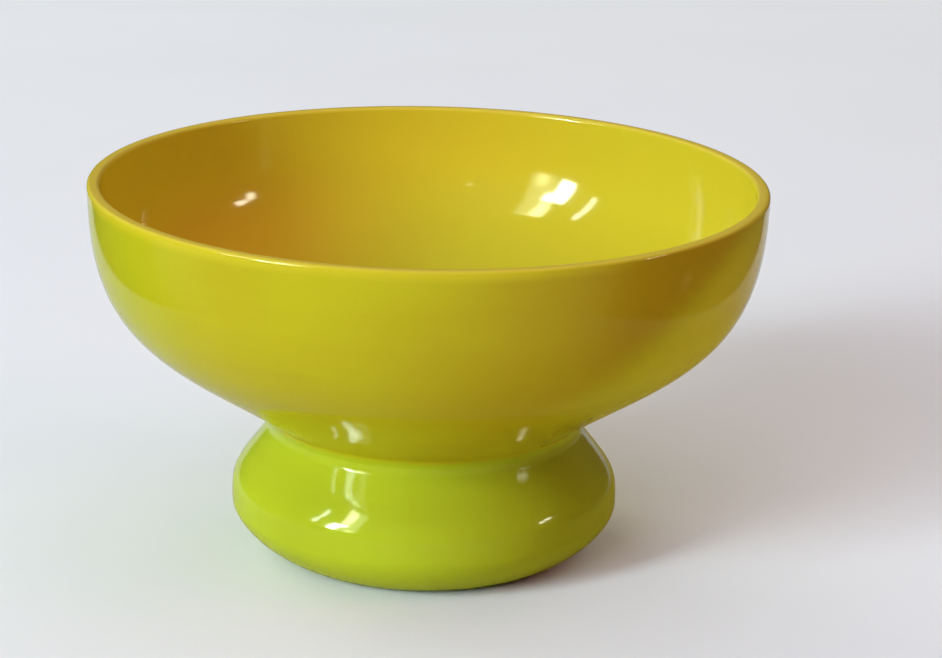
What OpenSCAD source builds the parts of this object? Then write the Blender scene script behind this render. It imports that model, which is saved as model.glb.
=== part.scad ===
// Footed bowl of blown, cased glass.
// A deep round bowl stands on a squat hollow foot. Both are made of two layers
// that were gathered hot, one over the other: an opaque yellow layer inside and
// a lime-tinted layer outside. The foot is sealed to the underside of the bowl
// over a wafer of glass, and the seal shows as the sharp crease at the waist.
// Origin: middle of the resting ring, on the table. Z is the axis of the bowl.

/* [Bowl] */
// Width across the rim
rim_d = 220; // [150:1:320]
// Height of the rim above the table
rim_z = 124; // [90:1:190]
// Angle at which the underside leaves the waist, above level
underside_angle = 37; // [25:1:48]
// How far the straight underside carries, as a share of the overhang
underside_share = 0.80; // [0.4:0.01:1.1]
// How far the upright side carries, as a share of the depth above the waist
side_share = 0.63; // [0.3:0.01:0.9]
// Flatness of the bottom between waist and axis: 2 is round, 5 is flat
bottom_power = 3; // [2:0.1:5]

/* [Bowl glass] */
// Thickness of the yellow layer at the rim
rim_lining_t = 2.4; // [1.2:0.1:6]
// Thickness of the yellow layer in the bottom
bottom_lining_t = 5.5; // [2:0.1:10]
// Thickness of the tinted layer on the bowl
bowl_casing_t = 1.8; // [1:0.1:4]
// Radius of the two fire-polished edges of the rim
rim_round = 1.2; // [0.3:0.1:2.5]

/* [Waist] */
// Width at the crease between bowl and foot
waist_d = 99; // [70:1:118]
// Height of the crease above the table
waist_z = 43.5; // [36:0.5:65]
// Thickness of the glass wafer that joins foot and bowl
wafer_t = 4; // [2:0.1:7]

/* [Foot] */
// Width of the foot at its widest
foot_d = 128; // [112:1:180]
// Height of the widest place above the table
bulge_z = 16; // [10:0.5:26]
// Outer width of the ground flat that the foot rests on
base_d = 92; // [70:1:106]
// Width of that flat, from its inner to its outer edge
resting_w = 8; // [3:0.5:16]
// Thickness of the tinted layer on the foot
foot_casing_t = 2.6; // [1.5:0.1:4]
// Thickness of the yellow layer in the wall of the foot
foot_core_t = 2.4; // [1.2:0.1:4]
// Thickness of the yellow layer in the floor of the foot
foot_floor_t = 4.5; // [2:0.1:8]

/* [Underside] */
// Rise of the pushed-up middle of the foot above the table
kick_h = 4; // [1:0.5:8]
// Width of the polished dish where the iron was broken off
pontil_d = 26; // [12:1:40]
// Depth of that dish
pontil_depth = 0.9; // [0.3:0.1:1.3]

/* [Hidden] */
$fn = 180;

rim_r = rim_d / 2;
waist_r = waist_d / 2;
foot_r = foot_d / 2;
base_r = base_d / 2;
resting_r = base_r - resting_w;
pontil_r = pontil_d / 2;

// The rim's edges are never rounder than the layers are thick.
lip_r = min(rim_round, bowl_casing_t, rim_lining_t);
lip_z = rim_z - lip_r;

// The shoulder of the foot meets the underside of the bowl square on.
shoulder_angle = 90 - underside_angle;

// Shares that place the handles of the two curves of the foot's side.
base_handle_share = 0.27;
bulge_low_share = 0.40;
bulge_high_share = 0.39;
shoulder_share = 0.79;

// Straight steps in each curve of the outline.
side_steps = 40;
bottom_steps = 12;
bulge_steps = 16;
shoulder_steps = 16;
kick_steps = 12;
lip_steps = 6;

// A cubic curve between a and d with handles b and c, and its direction.
function curve_at(a, b, c, d, t) =
    pow(1 - t, 3) * a + 3 * pow(1 - t, 2) * t * b + 3 * (1 - t) * t * t * c + t * t * t * d;
function curve_way(a, b, c, d, t) =
    pow(1 - t, 2) * (b - a) + 2 * (1 - t) * t * (c - b) + t * t * (d - c);

// An outline is a list of stations. Each holds a place [r, z] and the way the
// outline runs there, always with the glass on its left.
function station(place, way) = [place, way / norm(way)];
function curve_stations(a, b, c, d, steps) =
    [for (i = [0:steps]) station(curve_at(a, b, c, d, i / steps), curve_way(a, b, c, d, i / steps))];
function curve_places(a, b, c, d, steps, first = 0) =
    [for (i = [first:steps]) curve_at(a, b, c, d, i / steps)];

// A place moved into the glass, square to the outline, by t.
function inward(s, t) = s[0] + t * [-s[1][1], s[1][0]];
function places(stations) = [for (s = stations) s[0]];
function backward(list) = [for (i = [len(list) - 1:-1:0]) list[i]];

// Bottom of the bowl, from the axis out to the waist. It runs on smoothly
// from the underside and flattens towards the axis.
bottom_drop = waist_r * tan(underside_angle) / bottom_power;
bottom_z = waist_z - bottom_drop;
function bottom_at(r) = [r, bottom_z + bottom_drop * pow(r / waist_r, bottom_power)];
function bottom_way(r) = [1, tan(underside_angle) * pow(r / waist_r, bottom_power - 1)];

// The end of the foot's wall lies on the bottom of the bowl, between these.
seal_casing_r = waist_r - foot_casing_t * cos(underside_angle);
seal_core_r = seal_casing_r - foot_core_t * cos(underside_angle);
bottom_radii = concat([for (i = [0:bottom_steps]) seal_core_r * i / bottom_steps], [seal_casing_r]);
bottom_stations = [for (r = bottom_radii) station(bottom_at(r), bottom_way(r))];

// Side of the bowl, from the waist up to the rounding of the rim.
underside_handle = (rim_r - waist_r) * underside_share;
side_handle = (rim_z - waist_z) * side_share;
side_stations = curve_stations(
    [waist_r, waist_z],
    [waist_r, waist_z] + underside_handle * [cos(underside_angle), sin(underside_angle)],
    [rim_r, lip_z - side_handle],
    [rim_r, lip_z],
    side_steps);
bowl_stations = concat(bottom_stations, side_stations);

// The yellow layer thins evenly from the bottom up to the rim.
function lining_t(z) =
    rim_lining_t + (bottom_lining_t - rim_lining_t) * pow(1 - (z - bottom_z) / (lip_z - bottom_z), 2);
bowl_outside = places(bowl_stations);
bowl_between = [for (s = bowl_stations) inward(s, bowl_casing_t)];
bowl_inside = [for (s = bowl_stations) inward(s, bowl_casing_t + lining_t(s[0][1]))];

// A quarter round of radius lip_r about a centre at r, opening at angle from.
function lip_round(r, from) =
    [for (i = [0:lip_steps]) [r, lip_z] + lip_r * [cos(from + 90 * i / lip_steps), sin(from + 90 * i / lip_steps)]];

// Underside of the foot: pushed up in the middle, flat at the resting ring.
function kick_at(r) = [r, kick_h * (1 + cos(180 * r / resting_r)) / 2];
kick_radii = [for (i = [0:kick_steps]) resting_r * i / kick_steps];

// The outline of the foot at a depth in the glass: floor_t up from its floor,
// wall_t in from its side, ending at a place on the bottom of the bowl. An
// inner corner sits in from the outer one, but never past the resting flat.
function foot_corner_r(floor_t) = base_r - resting_w * floor_t / (resting_w + floor_t);
function foot_outline(floor_t, wall_t, end) =
    let (corner = [foot_corner_r(floor_t), floor_t])
    let (widest = [foot_r - wall_t, bulge_z])
    concat(
        [for (r = kick_radii) kick_at(r) + [0, floor_t]],
        curve_places(
            corner,
            corner + [base_handle_share * (widest[0] - corner[0]), 0],
            widest - [0, bulge_low_share * (widest[1] - corner[1])],
            widest,
            bulge_steps),
        curve_places(
            widest,
            widest + [0, bulge_high_share * (end[1] - widest[1])],
            end + shoulder_share * norm(widest - end) * [cos(shoulder_angle), -sin(shoulder_angle)],
            end,
            shoulder_steps, 1));

foot_skin = foot_outline(0, 0, [waist_r, waist_z]);
foot_between = foot_outline(foot_casing_t, foot_casing_t, bottom_at(seal_casing_r));
foot_inside = foot_outline(
    foot_casing_t + foot_floor_t,
    foot_casing_t + foot_core_t,
    bottom_at(seal_core_r));

// The polished dish is cut up into the middle of the underside.
pontil_edge_z = kick_at(pontil_r)[1];
pontil_top_z = kick_h + pontil_depth;
function pontil_at(r) = [r, pontil_top_z - (pontil_top_z - pontil_edge_z) * pow(r / pontil_r, 2)];
foot_outside = concat(
    [for (i = [0:kick_steps]) pontil_at(pontil_r * i / kick_steps)],
    [for (p = foot_skin) if (p[0] > pontil_r) p]);

// Lower face of the wafer, one thickness under the bottom of the bowl.
seal_z = bottom_at(seal_core_r)[1];
wafer_under = [for (i = [0:bottom_steps]) bottom_at(seal_core_r * i / bottom_steps) - [0, wafer_t]];
wafer_edge = [for (p = foot_inside) if (p[1] > seal_z - wafer_t && p[0] > seal_core_r) p];

// Opaque yellow inner layer of the bowl, open at the top
module bowl_lining() {
    color("goldenrod")
        rotate_extrude()
            polygon(concat(
                bowl_between,
                [[rim_r - bowl_casing_t, rim_z]],
                lip_round(rim_r - bowl_casing_t - rim_lining_t + lip_r, 90),
                backward(bowl_inside)));
}

// Lime-tinted outer layer of the bowl, down over the bottom
module bowl_casing() {
    color("olivedrab")
        rotate_extrude()
            polygon(concat(
                bowl_outside,
                lip_round(rim_r - lip_r, 0),
                [[rim_r - bowl_casing_t, rim_z]],
                backward(bowl_between)));
}

// Wafer of hot glass between the bottom of the bowl and the neck of the foot
module joining_wafer() {
    color("khaki")
        rotate_extrude()
            polygon(concat(
                wafer_under,
                wafer_edge,
                backward([for (i = [0:bottom_steps]) bottom_at(seal_core_r * i / bottom_steps)])));
}

// Opaque yellow inner layer of the hollow foot
module foot_core() {
    color("gold")
        rotate_extrude()
            polygon(concat(foot_between, backward(foot_inside)));
}

// Lime-tinted outer layer of the foot, with the resting ring and pontil dish
module foot_casing() {
    color("yellowgreen")
        rotate_extrude()
            polygon(concat(foot_outside, backward(foot_between)));
}

bowl_lining();
bowl_casing();
joining_wafer();
foot_core();
foot_casing();
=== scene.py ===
"""Footed bowl of blown, cased glass on a pale sheet.

Two gathers of glass make it: the bowl and the hollow foot, sealed together hot
at the sharp waist. Each is an opaque yellow layer under a lime-tinted one. The
visible layers are lathed here finer than the CAD solids, from the same sizes.
"""

import math

import bpy
from mathutils import Matrix, Vector, noise


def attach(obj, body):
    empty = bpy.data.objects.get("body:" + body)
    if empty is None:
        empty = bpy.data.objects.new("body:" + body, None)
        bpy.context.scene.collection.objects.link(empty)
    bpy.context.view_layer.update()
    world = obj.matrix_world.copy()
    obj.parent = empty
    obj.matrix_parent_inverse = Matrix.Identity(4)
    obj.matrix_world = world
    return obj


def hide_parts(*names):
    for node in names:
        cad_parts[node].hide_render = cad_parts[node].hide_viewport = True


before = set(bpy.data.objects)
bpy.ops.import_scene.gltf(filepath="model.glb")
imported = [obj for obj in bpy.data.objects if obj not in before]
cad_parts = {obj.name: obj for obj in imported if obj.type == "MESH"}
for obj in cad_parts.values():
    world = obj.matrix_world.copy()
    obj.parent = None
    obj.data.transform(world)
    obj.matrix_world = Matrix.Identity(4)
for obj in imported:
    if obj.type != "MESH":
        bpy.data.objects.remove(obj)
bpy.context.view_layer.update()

MM = 0.001

# Sizes of the bowl, in millimetres, as in the source of the solids.
RIM_R = 110.0
RIM_Z = 124.0
LIP_R = 1.2
LIP_Z = RIM_Z - LIP_R
WAIST_R = 49.5
WAIST_Z = 43.5
UNDERSIDE_ANGLE = math.radians(37)
UNDERSIDE_SHARE = 0.80
SIDE_SHARE = 0.63
BOTTOM_POWER = 3
BOTTOM_DROP = WAIST_R * math.tan(UNDERSIDE_ANGLE) / BOTTOM_POWER
BOTTOM_Z = WAIST_Z - BOTTOM_DROP
BOWL_CASING_T = 1.8
RIM_LINING_T = 2.4
BOTTOM_LINING_T = 5.5
SEAM_R = RIM_R - BOWL_CASING_T

# Sizes of the foot.
FOOT_R = 64.0
BULGE_Z = 16.0
BASE_R = 46.0
RESTING_W = 8.0
RESTING_R = BASE_R - RESTING_W
FOOT_CASING_T = 2.6
SEAL_R = WAIST_R - FOOT_CASING_T * math.cos(UNDERSIDE_ANGLE)
KICK_H = 4.0
PONTIL_R = 13.0
PONTIL_DEPTH = 0.9
BASE_HANDLE_SHARE = 0.27
BULGE_LOW_SHARE = 0.40
BULGE_HIGH_SHARE = 0.39
SHOULDER_SHARE = 0.79
SHOULDER_ANGLE = math.radians(90) - UNDERSIDE_ANGLE

# The hot glass of the seal ran into the crease, and left a small round there.
CREASE_R = 2.6
CREASE_HANDLE_SHARE = 0.55

# The glassblower's hand lets the glass sway inwards this much at the most. The
# sway is this long round the piece, shorter up and down it, and dies away to
# the base and to the rim.
SWAY = 0.30
SWAY_LENGTH = 46.0
SWAY_SQUASH = 1.6
STEADY_OVER_BASE = 12.0
STEADY_UNDER_RIM = 6.0

# Spokes of each lathed piece, and steps along each curve of its outline.
SPOKES = 192
SIDE_STEPS = 72
BOTTOM_STEPS = 16
FOOT_STEPS = 30
KICK_STEPS = 14
LIP_STEPS = 6
CREASE_STEPS = 24
SHARP_EDGE = math.radians(50)


def curve(a, b, c, d, steps, first=0):
    """Places and directions along a cubic curve, each as ((r, z), (dr, dz))."""
    made = []
    for i in range(first, steps + 1):
        t = i / steps
        place = [(1 - t) ** 3 * a[k] + 3 * (1 - t) ** 2 * t * b[k]
                 + 3 * (1 - t) * t * t * c[k] + t ** 3 * d[k] for k in (0, 1)]
        way = [(1 - t) ** 2 * (b[k] - a[k]) + 2 * (1 - t) * t * (c[k] - b[k])
               + t * t * (d[k] - c[k]) for k in (0, 1)]
        length = math.hypot(*way)
        made.append((tuple(place), (way[0] / length, way[1] / length)))
    return made


def inward(station, depth):
    """A place moved into the glass, square to the outline."""
    (r, z), (dr, dz) = station
    return (r - depth * dz, z + depth * dr)


def bottom_at(r):
    """A place on the outside of the bowl's bottom, under the foot's seal."""
    return (r, BOTTOM_Z + BOTTOM_DROP * (r / WAIST_R) ** BOTTOM_POWER)


def bottom_station(r):
    """That place and the way that the outline runs there."""
    slope = math.tan(UNDERSIDE_ANGLE) * (r / WAIST_R) ** (BOTTOM_POWER - 1)
    return (bottom_at(r), (math.cos(math.atan(slope)), math.sin(math.atan(slope))))


def bowl_stations():
    """Outside of the bowl, from the axis out to the waist and up to the rim."""
    handle = (RIM_R - WAIST_R) * UNDERSIDE_SHARE
    side = curve(
        (WAIST_R, WAIST_Z),
        (WAIST_R + handle * math.cos(UNDERSIDE_ANGLE),
         WAIST_Z + handle * math.sin(UNDERSIDE_ANGLE)),
        (RIM_R, LIP_Z - (RIM_Z - WAIST_Z) * SIDE_SHARE),
        (RIM_R, LIP_Z),
        SIDE_STEPS)
    bottom = [bottom_station(WAIST_R * i / BOTTOM_STEPS) for i in range(BOTTOM_STEPS)]
    return bottom + side


def lining_t(z):
    """The yellow layer thins evenly from the bottom up to the rim."""
    rise = (z - BOTTOM_Z) / (LIP_Z - BOTTOM_Z)
    return RIM_LINING_T + (BOTTOM_LINING_T - RIM_LINING_T) * (1 - rise) ** 2


def lip_round(r, start):
    """A quarter round of the fire-polished rim about a centre at r."""
    angles = [math.radians(start + 90 * i / LIP_STEPS) for i in range(LIP_STEPS + 1)]
    return [(r + LIP_R * math.cos(a), LIP_Z + LIP_R * math.sin(a)) for a in angles]


def kick_z(r):
    """Height of the kick-up over the resting ring's plane."""
    return KICK_H * (1 + math.cos(math.pi * r / RESTING_R)) / 2


def foot_outline(depth, end):
    """Outline of the foot at a depth in the glass, from the axis to the seal."""
    corner = (BASE_R - RESTING_W * depth / (RESTING_W + depth), depth)
    widest = (FOOT_R - depth, BULGE_Z)
    reach = SHOULDER_SHARE * math.dist(widest, end)
    kick = [RESTING_R * i / KICK_STEPS for i in range(KICK_STEPS + 1)]
    low = curve(
        corner,
        (corner[0] + BASE_HANDLE_SHARE * (widest[0] - corner[0]), corner[1]),
        (widest[0], widest[1] - BULGE_LOW_SHARE * (widest[1] - corner[1])),
        widest, FOOT_STEPS)
    high = curve(
        widest,
        (widest[0], widest[1] + BULGE_HIGH_SHARE * (end[1] - widest[1])),
        (end[0] + reach * math.cos(SHOULDER_ANGLE), end[1] - reach * math.sin(SHOULDER_ANGLE)),
        end, FOOT_STEPS, 1)
    return [(r, depth + kick_z(r)) for r in kick] + [place for place, way in low + high]


def crease_round(side, shoulder):
    """The outsides of bowl and foot with the round run into the crease between
    them. Both start at the crease, and each gets half of the round."""
    crease = side[0]
    side, shoulder = ([p for p in places if math.dist(p, crease) >= CREASE_R]
                      for places in (side, shoulder))
    handles = []
    for places in (side, shoulder):
        reach = CREASE_HANDLE_SHARE * CREASE_R / math.dist(places[0], places[1])
        handles.append([places[0][k] + reach * (places[0][k] - places[1][k]) for k in (0, 1)])
    stations = curve(side[0], handles[0], handles[1], shoulder[0], CREASE_STEPS)
    run = [place for place, way in stations]
    half = CREASE_STEPS // 2
    return [crease] + run[half:0:-1] + side, [crease] + run[half:-1] + shoulder


def pontil(outline):
    """The outline with the polished dish cut up into the middle of the underside."""
    top_z = KICK_H + PONTIL_DEPTH
    dish = [PONTIL_R * i / KICK_STEPS for i in range(KICK_STEPS + 1)]
    return ([(r, top_z - (top_z - kick_z(PONTIL_R)) * (r / PONTIL_R) ** 2) for r in dish]
            + [place for place in outline if place[0] > PONTIL_R])


def swayed_in(r, z, angle):
    """The radius there after the slight sway that the glassblower's hand leaves."""
    place = Vector((r * math.cos(angle), r * math.sin(angle), SWAY_SQUASH * z)) / SWAY_LENGTH
    steady = min(1.0, z / STEADY_OVER_BASE) * min(1.0, (RIM_Z - z) / STEADY_UNDER_RIM)
    return r - SWAY * steady * (0.5 + 0.5 * noise.noise(place))


def add_mesh(name, vertices, faces):
    mesh = bpy.data.meshes.new(name)
    mesh.from_pydata(vertices, [], faces)
    mesh.update()
    made = bpy.data.objects.new(name, mesh)
    bpy.context.scene.collection.objects.link(made)
    return made


def lathe(name, outline):
    """A closed solid of revolution from [(r, z), ...] in mm, swayed a little by
    hand. The outline starts and ends on the axis."""
    rings = outline[1:-1]
    vertices = []
    for r, z in rings:
        for k in range(SPOKES):
            angle = 2 * math.pi * k / SPOKES
            swayed = swayed_in(r, z, angle)
            vertices.append((swayed * math.cos(angle) * MM, swayed * math.sin(angle) * MM, z * MM))
    faces = []
    for start in range(0, (len(rings) - 1) * SPOKES, SPOKES):
        for k in range(SPOKES):
            nxt = (k + 1) % SPOKES
            faces.append((start + k, start + nxt, start + SPOKES + nxt, start + SPOKES + k))
    last = (len(rings) - 1) * SPOKES
    for (r, z), start, step in ((outline[0], 0, -1), (outline[-1], last, 1)):
        vertices.append((0, 0, z * MM))
        middle = len(vertices) - 1
        for k in range(SPOKES):
            edge = (start + k, start + (k + 1) % SPOKES)
            faces.append((middle,) + edge[::step])
    piece = add_mesh(name, vertices, faces)
    piece.data.validate()
    piece.data.shade_smooth()
    piece.data.set_sharp_from_angle(angle=SHARP_EDGE)
    return piece


# ---- materials
def linear(code):
    """An sRGB hex colour as Blender's linear one."""
    parts = [int(code[i:i + 2], 16) / 255 for i in (1, 3, 5)]
    return tuple(p / 12.92 if p <= 0.04045 else ((p + 0.055) / 1.055) ** 2.4
                 for p in parts) + (1.0,)


def add_node(tree, kind, settings=None, links=None):
    """A node of that kind. Settings are its own attributes or its sockets' values."""
    made = tree.nodes.new(kind)
    for name, value in (settings or {}).items():
        if isinstance(name, str) and hasattr(made, name):
            setattr(made, name, value)
        else:
            made.inputs[name].default_value = value
    for name, source in (links or {}).items():
        tree.links.new(source, made.inputs[name])
    return made


def new_material(name):
    """An empty material, its tree, and the place on the object in metres."""
    material = bpy.data.materials.new(name)
    material.use_nodes = True
    tree = material.node_tree
    tree.nodes.clear()
    return material, tree, add_node(tree, "ShaderNodeTexCoord").outputs["Object"]


# Patterns of the blown glass, in millimetres.
BAND_SIZE = (160, 160, 9)
CLOUD = 55
RIPPLE = 17
RIPPLE_DEPTH = 0.25

# Shares: how much the bands count beside the clouds, the roughness of the
# polish, and how far a cloud shifts the edge of a tint.
BAND_SHARE = 0.45
GLOSS = 0.08
TINT_SWAY = 0.3


def blown_glass(name, pale, deep, tints=()):
    """Opaque or cased soda-lime glass, blown and fire-polished.

    It reads as one deep, wet-looking colour. What keeps it from looking like
    plastic is slight clouding where the layer is thicker, faint bands that run
    round the piece from turning the gather on the iron, and a soft lens-like
    unevenness that bends the reflections. A tint is a colour and the slopes that
    bring it in, each as (share of X, share of Z, from mm, to mm). Some tints are
    the glass's own colour. Those across the sides and at the lip are painted
    light, painted shade and painted highlight, named at each material.
    """
    material, tree, place = new_material(name)

    # Bands from the turned gather: fine up and down, long around the piece.
    turned = add_node(tree, "ShaderNodeMapping",
                      {"Scale": [1 / (size * MM) for size in BAND_SIZE]}, {"Vector": place})
    bands = add_node(tree, "ShaderNodeTexNoise", {"Scale": 1.0, "Detail": 3.0, "Roughness": 0.55},
                     {"Vector": turned.outputs["Vector"]})
    # Clouds where the tinted layer is thicker or thinner.
    clouds = add_node(tree, "ShaderNodeTexNoise",
                      {"Scale": 1 / (CLOUD * MM), "Detail": 2.0, "Roughness": 0.45},
                      {"Vector": place}).outputs["Fac"]
    blend = add_node(tree, "ShaderNodeMath", {"operation": "MULTIPLY_ADD", 1: BAND_SHARE},
                     {0: bands.outputs["Fac"], 2: clouds})
    tone = add_node(tree, "ShaderNodeMapRange",
                    {"From Min": 0.45, "From Max": 1.0, "interpolation_type": "SMOOTHSTEP"},
                    {"Value": blend.outputs["Value"]})
    body = add_node(tree, "ShaderNodeMix", {"data_type": "RGBA", 6: linear(pale), 7: linear(deep)},
                    {0: tone.outputs["Result"]}).outputs[2]
    for colour, slopes in tints:
        cover = None
        for along_x, along_z, start, end in slopes:
            sway = TINT_SWAY * abs(end - start)
            along = add_node(tree, "ShaderNodeVectorMath",
                             {"operation": "DOT_PRODUCT", 1: (along_x, 0, along_z)}, {0: place})
            swayed = add_node(tree, "ShaderNodeMath", {"operation": "MULTIPLY_ADD", 1: sway * MM},
                              {0: clouds, 2: along.outputs["Value"]})
            slope = add_node(tree, "ShaderNodeMapRange",
                             {"From Min": (start + sway / 2) * MM,
                              "From Max": (end + sway / 2) * MM,
                              "interpolation_type": "SMOOTHSTEP"},
                             {"Value": swayed.outputs["Value"]}).outputs["Result"]
            cover = slope if cover is None else add_node(
                tree, "ShaderNodeMath", {"operation": "MULTIPLY"},
                {0: cover, 1: slope}).outputs["Value"]
        body = add_node(tree, "ShaderNodeMix", {"data_type": "RGBA", 7: linear(colour)},
                        {0: cover, 6: body}).outputs[2]
    # Fire polish is never quite even: the gloss and the surface both sway a little.
    polish = add_node(tree, "ShaderNodeMapRange", {"To Min": GLOSS * 0.7, "To Max": GLOSS * 1.4},
                      {"Value": clouds})
    ripple = add_node(tree, "ShaderNodeTexNoise",
                      {"Scale": 1 / (RIPPLE * MM), "Detail": 1.0, "Roughness": 0.4},
                      {"Vector": place})
    surface = add_node(tree, "ShaderNodeBump", {"Strength": 0.12, "Distance": RIPPLE_DEPTH * MM},
                       {"Height": ripple.outputs["Fac"]})
    shader = add_node(tree, "ShaderNodeBsdfPrincipled",
                      {"IOR": 1.45, "Specular IOR Level": 0.22,
                       "Specular Tint": linear("#FFFCD8")},
                      {"Base Color": body, "Roughness": polish.outputs["Result"],
                       "Normal": surface.outputs["Normal"]})
    add_node(tree, "ShaderNodeOutputMaterial", links={"Surface": shader.outputs["BSDF"]})
    return material


def paper(name, pale, deep):
    """Matt paper: almost even, with the faintest clouding."""
    material, tree, place = new_material(name)
    clouds = add_node(tree, "ShaderNodeTexNoise", {"Scale": 5.0, "Detail": 2.0}, {"Vector": place})
    tone = add_node(tree, "ShaderNodeMix", {"data_type": "RGBA", 6: linear(pale), 7: linear(deep)},
                    {0: clouds.outputs["Fac"]})
    shader = add_node(tree, "ShaderNodeBsdfPrincipled",
                      {"Roughness": 0.9, "Specular IOR Level": 0.0},
                      {"Base Color": tone.outputs[2]})
    add_node(tree, "ShaderNodeOutputMaterial", links={"Surface": shader.outputs["BSDF"]})
    return material


def mirrored_paper(name, white, shaded):
    """The white sheet as the glass mirrors it. It is narrow beside the bowl,
    where the dark of the room begins, and wide in front of it. Close to the foot
    and on the lamp's side it is painted darker and in the glass's colour: painted
    shade and a painted colour cast from the glass. In metres."""
    side_edge, side_narrowing = (0.258, 0.252), -0.12
    front_edge, front_slant = (-0.07, -0.20), 0.30
    shade_middle, shade_edge = (0.10, 0.02, 0), (0.08, 0.27)

    material, tree, place = new_material(name)
    way = add_node(tree, "ShaderNodeSeparateXYZ", links={0: place}).outputs
    aside = add_node(tree, "ShaderNodeMath", {"operation": "ABSOLUTE"}, {0: way["X"]})
    beside = add_node(tree, "ShaderNodeMath", {"operation": "MULTIPLY_ADD", 1: side_narrowing},
                      {0: way["Y"], 2: aside.outputs["Value"]})
    middle = add_node(tree, "ShaderNodeMapRange",
                      {"From Min": side_edge[0], "From Max": side_edge[1]},
                      {"Value": beside.outputs["Value"]})
    ahead = add_node(tree, "ShaderNodeMath", {"operation": "MULTIPLY_ADD", 1: front_slant},
                     {0: way["X"], 2: way["Y"]})
    front = add_node(tree, "ShaderNodeMapRange",
                     {"From Min": front_edge[0], "From Max": front_edge[1],
                      "interpolation_type": "SMOOTHSTEP"}, {"Value": ahead.outputs["Value"]})
    cover = add_node(tree, "ShaderNodeMath", {"operation": "MAXIMUM"},
                     {0: middle.outputs["Result"], 1: front.outputs["Result"]})
    afar = add_node(tree, "ShaderNodeVectorMath", {"operation": "DISTANCE", 1: shade_middle},
                    {0: place})
    shade = add_node(tree, "ShaderNodeMapRange",
                     {"From Min": shade_edge[0], "From Max": shade_edge[1],
                      "interpolation_type": "SMOOTHSTEP"}, {"Value": afar.outputs["Value"]})
    tone = add_node(tree, "ShaderNodeMix",
                    {"data_type": "RGBA", 6: linear(shaded), 7: linear(white)},
                    {0: shade.outputs["Result"]})
    lit = add_node(tree, "ShaderNodeBsdfDiffuse", links={"Color": tone.outputs[2]})
    clear = add_node(tree, "ShaderNodeBsdfTransparent")
    mixed = add_node(tree, "ShaderNodeMixShader",
                     links={0: cover.outputs["Value"], 1: clear.outputs["BSDF"],
                            2: lit.outputs["BSDF"]})
    add_node(tree, "ShaderNodeOutputMaterial", links={"Surface": mixed.outputs["Shader"]})
    return material


def painted_wall(name, low, high, height):
    """Plain matt paint, a little paler higher up, that needs no light to show."""
    material, tree, place = new_material(name)
    rise = add_node(tree, "ShaderNodeSeparateXYZ", links={0: place}).outputs["Z"]
    paler = add_node(tree, "ShaderNodeMapRange",
                     {"From Max": height, "interpolation_type": "SMOOTHSTEP"}, {"Value": rise})
    tone = add_node(tree, "ShaderNodeMix", {"data_type": "RGBA", 6: linear(low), 7: linear(high)},
                    {0: paler.outputs["Result"]})
    glow = add_node(tree, "ShaderNodeEmission", links={"Color": tone.outputs[2]})
    add_node(tree, "ShaderNodeOutputMaterial", links={"Surface": glow.outputs["Emission"]})
    return material


# ---- camera
CAMERA_PLACE = (0.0, -0.8812, 0.3431)
CAMERA_PAN, CAMERA_TILT, CAMERA_ROLL = -0.947, 90 - 17.005, 1.302
camera_data = bpy.data.cameras.new("camera")
camera_data.sensor_width = 36
camera_data.lens = 107.135
camera_data.clip_end = 20
camera = bpy.data.objects.new("camera", camera_data)
bpy.context.scene.collection.objects.link(camera)
turn = (Matrix.Rotation(math.radians(CAMERA_PAN), 4, "Z")
        @ Matrix.Rotation(math.radians(CAMERA_TILT), 4, "X")
        @ Matrix.Rotation(math.radians(CAMERA_ROLL), 4, "Z"))
camera.matrix_world = Matrix.Translation(CAMERA_PLACE) @ turn
bpy.context.scene.camera = camera

# ---- pieces
outside = bowl_stations()
between = [inward(s, BOWL_CASING_T) for s in outside]
inside = [inward(s, BOWL_CASING_T + lining_t(s[0][1])) for s in outside]
foot_outside = foot_outline(0, (WAIST_R, WAIST_Z))
bowl_bottom = [place for place, way in outside[:BOTTOM_STEPS]]
bowl_side, shoulder = crease_round([place for place, way in outside[BOTTOM_STEPS:]],
                                   foot_outside[:-FOOT_STEPS - 1:-1])

lining = lathe("bowl_lining_glass", between + [(SEAM_R, RIM_Z)]
               + lip_round(SEAM_R - RIM_LINING_T + LIP_R, 90) + inside[::-1])
casing = lathe("bowl_casing_glass", bowl_bottom + bowl_side
               + lip_round(RIM_R - LIP_R, 0) + [(SEAM_R, RIM_Z)] + between[::-1])
foot = lathe("foot_casing_glass", pontil(foot_outside[:-FOOT_STEPS] + shoulder[::-1])
             + foot_outline(FOOT_CASING_T, bottom_at(SEAL_R))[::-1])

# The yellow layer: warmer higher up towards the rim. Greener on the right,
# where the window's light falls inside, is painted light. Warmer low on the
# left, in the window's shade, is painted shade. Palest on the fire-polished
# lip is a painted highlight.
yellow = blown_glass("opaque_yellow_glass", "#CBC22F", "#C4B82B", [
    ("#D3B627", [(0, 1, RIM_Z - 62, RIM_Z - 12)]),
    ("#CAB727", [(1, 0, 15, 85)]),
    ("#DFB32B", [(1, 0, 0, -78), (0, 1, RIM_Z - 12, RIM_Z - 40)]),
    ("#DABD40", [(0, 1, RIM_Z - 1.2, RIM_Z)])])
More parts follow.
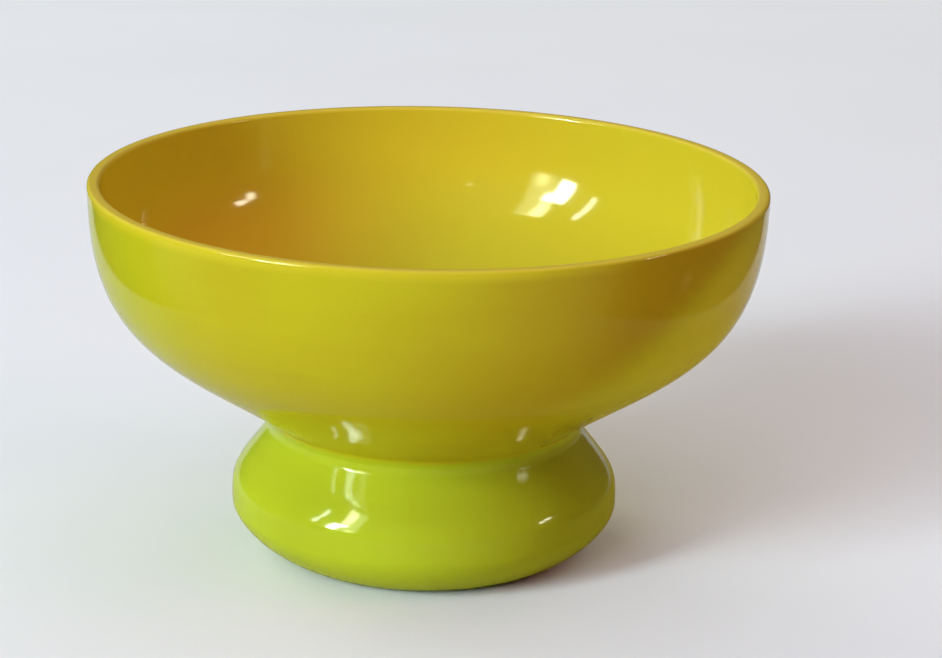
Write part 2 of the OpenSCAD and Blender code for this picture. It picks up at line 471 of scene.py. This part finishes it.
# The tinted layer over it: green on the left, where the window's light falls,
# is painted light. Brown high on the right, away from the window, is painted
# shade. Paler low at the right edge is a painted reflection of the sheet.
# Greener at the crease, where the foot's glass ran into it. Yellower just
# under the rim on the left is the layer thinning there, with painted light on
# the window's side. Pale at the rim is a painted highlight.
bowl_lime = blown_glass("lime_cased_bowl_glass", "#B7A813", "#B09D11", [
    ("#ADA613", [(1, 0, -58, -98)]),
    ("#A9870E", [(1, 0, -15, 70), (1, -1.2, -36, -60)]),
    ("#C3AE1A", [(1, 0, 50, 92), (1, -1.2, -54, -34)]),
    ("#A5AC12", [(0, 1, WAIST_Z + 2.5, WAIST_Z)]),
    ("#C4B01C", [(0, 1, RIM_Z - 4.5, RIM_Z - 1), (1, 0, 75, 10)]),
    ("#D6BB3A", [(0, 1, RIM_Z - 1.0, RIM_Z)])])
# The foot's tinted layer is thicker, so it is greener. Olive on the right is
# painted shade, on the side turned away from the window under the bowl.
foot_lime = blown_glass("lime_cased_foot_glass", "#B1B921", "#A6AC1D", [
    ("#9C9B14", [(1, 0, 0, 58)])])
# Inside the foot: the opaque layer, and the paler pad that closes it.
foot_yellow = blown_glass("opaque_foot_glass", "#CDBF2A", "#C2B01C")
wafer_glass = blown_glass("joining_wafer_glass", "#CCC64E", "#C0B636")

for piece, material, node, slot in (
        (lining, yellow, "bowl_lining", "yellow_glass"),
        (casing, bowl_lime, "bowl_casing", "bowl_tinted_glass"),
        (foot, foot_lime, "foot_casing", "foot_lime_glass")):
    piece.data.materials.append(material)
    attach(piece, "root")
    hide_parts(node)

for node, material in (("foot_core", foot_yellow), ("joining_wafer", wafer_glass)):
    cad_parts[node].data.materials.clear()
    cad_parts[node].data.materials.append(material)


# ---- studio
def stage_panel(name, corners, z, material, only_mirrored):
    """A flat piece of paper. One that is only mirrored shows in the glass alone."""
    panel = add_mesh(name, [(x, y, z) for x, y in corners], [tuple(range(len(corners)))])
    panel.data.materials.append(material)
    if only_mirrored:
        panel.visible_camera = panel.visible_diffuse = panel.visible_shadow = False
    else:
        panel.visible_glossy = False


def stage_wall(name, radius, height, steps, material):
    """A round wall far behind everything, for the views from low down. The
    bowl neither mirrors it nor gets light from it."""
    angles = [2 * math.pi * k / steps for k in range(steps)]
    corners = [(radius * math.cos(a), radius * math.sin(a), z)
               for z in (0.0, height) for a in angles]
    wall = add_mesh(name, corners, [(k, (k + 1) % steps, steps + (k + 1) % steps, steps + k)
                                    for k in range(steps)])
    wall.data.shade_smooth()
    wall.data.materials.append(material)
    wall.visible_diffuse = wall.visible_glossy = wall.visible_shadow = False


stage_panel("studio_floor", [(-4, -4), (4, -4), (4, 4), (-4, 4)], 0.0,
            paper("white_paper", "#F2F2F0", "#ECEBE9"), only_mirrored=False)
stage_panel("mirrored_sheet", [(-1.2, -0.50), (1.2, -0.50), (1.2, 2.6), (-1.2, 2.6)], 0.0001,
            mirrored_paper("mirrored_white_paper", "#D6D6D0", "#C4B65A"), only_mirrored=True)
stage_panel("mirrored_card", [(0.355, -0.058), (0.406, -0.053), (0.403, -0.025), (0.352, -0.031)],
            0.0002, paper("cream_card", "#F2E2A4", "#EADA9C"), only_mirrored=True)
WALL_HEIGHT = 2.6
stage_wall("studio_wall", 3.4, WALL_HEIGHT, 96,
           painted_wall("studio_wall", "#D4D6DA", "#E2E5EA", WALL_HEIGHT))

LIGHT_AIM = Vector((0, 0, 0.08))
MIRRORED_DISTANCE = 1.9
LIT_DISTANCE = 4.0


def soft_light(name, towards, spread, radiance, colour, tilt=0, mirrored=False):
    """A rectangular light of even brightness. Towards is its azimuth and height
    and spread its width and height, in degrees as the bowl sees them. A mirrored
    one only makes a highlight, and the others only shed light."""
    distance = MIRRORED_DISTANCE if mirrored else LIT_DISTANCE
    data = bpy.data.lights.new(name, "AREA")
    data.shape = "RECTANGLE"
    data.size, data.size_y = (2 * distance * math.tan(math.radians(s / 2)) for s in spread)
    data.energy = radiance * math.pi * data.size * data.size_y
    data.color = colour
    lamp = bpy.data.objects.new(name, data)
    bpy.context.scene.collection.objects.link(lamp)
    azimuth, height = (math.radians(a) for a in towards)
    way = Vector((math.sin(azimuth) * math.cos(height),
                  -math.cos(azimuth) * math.cos(height), math.sin(height)))
    facing = way.to_track_quat("Z", "Y").to_matrix().to_4x4()
    lamp.matrix_world = (Matrix.Translation(LIGHT_AIM + way * distance) @ facing
                         @ Matrix.Rotation(math.radians(tilt), 4, "Z"))
    lamp.visible_camera = False
    lamp.visible_glossy = mirrored
    lamp.visible_diffuse = not mirrored


# What the glass mirrors: the window by its parts, and three lamps.
SKY = (0.70, 0.85, 1.0)
LAMP = (1.0, 0.97, 0.95)
for name, towards, spread, radiance, colour, tilt in (
        ("window_sky", (-54.5, 19), (6, 17), 170.0, SKY, -7),
        ("window_lace", (-50, 37), (5, 14), 40.0, (0.9, 1.0, 0.85), 0),
        ("window_pane", (-49.6, 25), (4.6, 7), 110.0, SKY, -7),
        ("window_sill", (-44.5, 13), (4, 8), 20.0, (1.0, 1.0, 0.8), 0),
        ("window_curtain", (-45.5, 27), (10, 36), 11.0, (0.83, 1.0, 0.9), 3),
        ("window_slit", (-68, 27), (1.8, 21), 65.0, SKY, -3),
        ("lamp_small", (-16, 22.5), (1.2, 1.2), 40.0, (1.0, 0.95, 0.85), 0),
        ("lamp_near", (74.75, 17), (3.5, 4.5), 50.0, LAMP, 0),
        ("lamp_far", (80, 19.5), (5.2, 3), 50.0, LAMP, 0)):
    soft_light(name, towards, spread, radiance, colour, tilt, mirrored=True)

# What lights the bowl: the window, the lamps' side, and the room around.
for name, towards, spread, radiance, colour in (
        ("window_light", (-50, 20), (12, 24), 31.7, (0.71, 0.92, 1.0)),
        ("lamp_wide", (75, 30), (30, 22), 1.90, (1.0, 0.33, 0.40)),
        ("ceiling", (20, 84), (80, 80), 0.68, (1.0, 0.955, 0.95)),
        ("front_left", (-30, 30), (30, 25), 4.38, (0.695, 0.63, 1.0)),
        ("far_left", (-140, 20), (40, 25), 3.47, (0.915, 1.0, 1.0)),
        ("far_right", (140, 20), (40, 25), 1.98, (0.84, 1.0, 0.89)),
        ("back_left", (-165, 12), (30, 12), 0.9, (0.1, 0.8, 1.0))):
    soft_light(name, towards, spread, radiance, colour)

world = bpy.data.worlds.new("room")
world.use_nodes = True
room = world.node_tree.nodes["Background"].inputs
room["Color"].default_value = (1.0, 0.85, 0.95, 1)
room["Strength"].default_value = 0.054
bpy.context.scene.world = world
bpy.context.scene.view_settings.view_transform = "Standard"
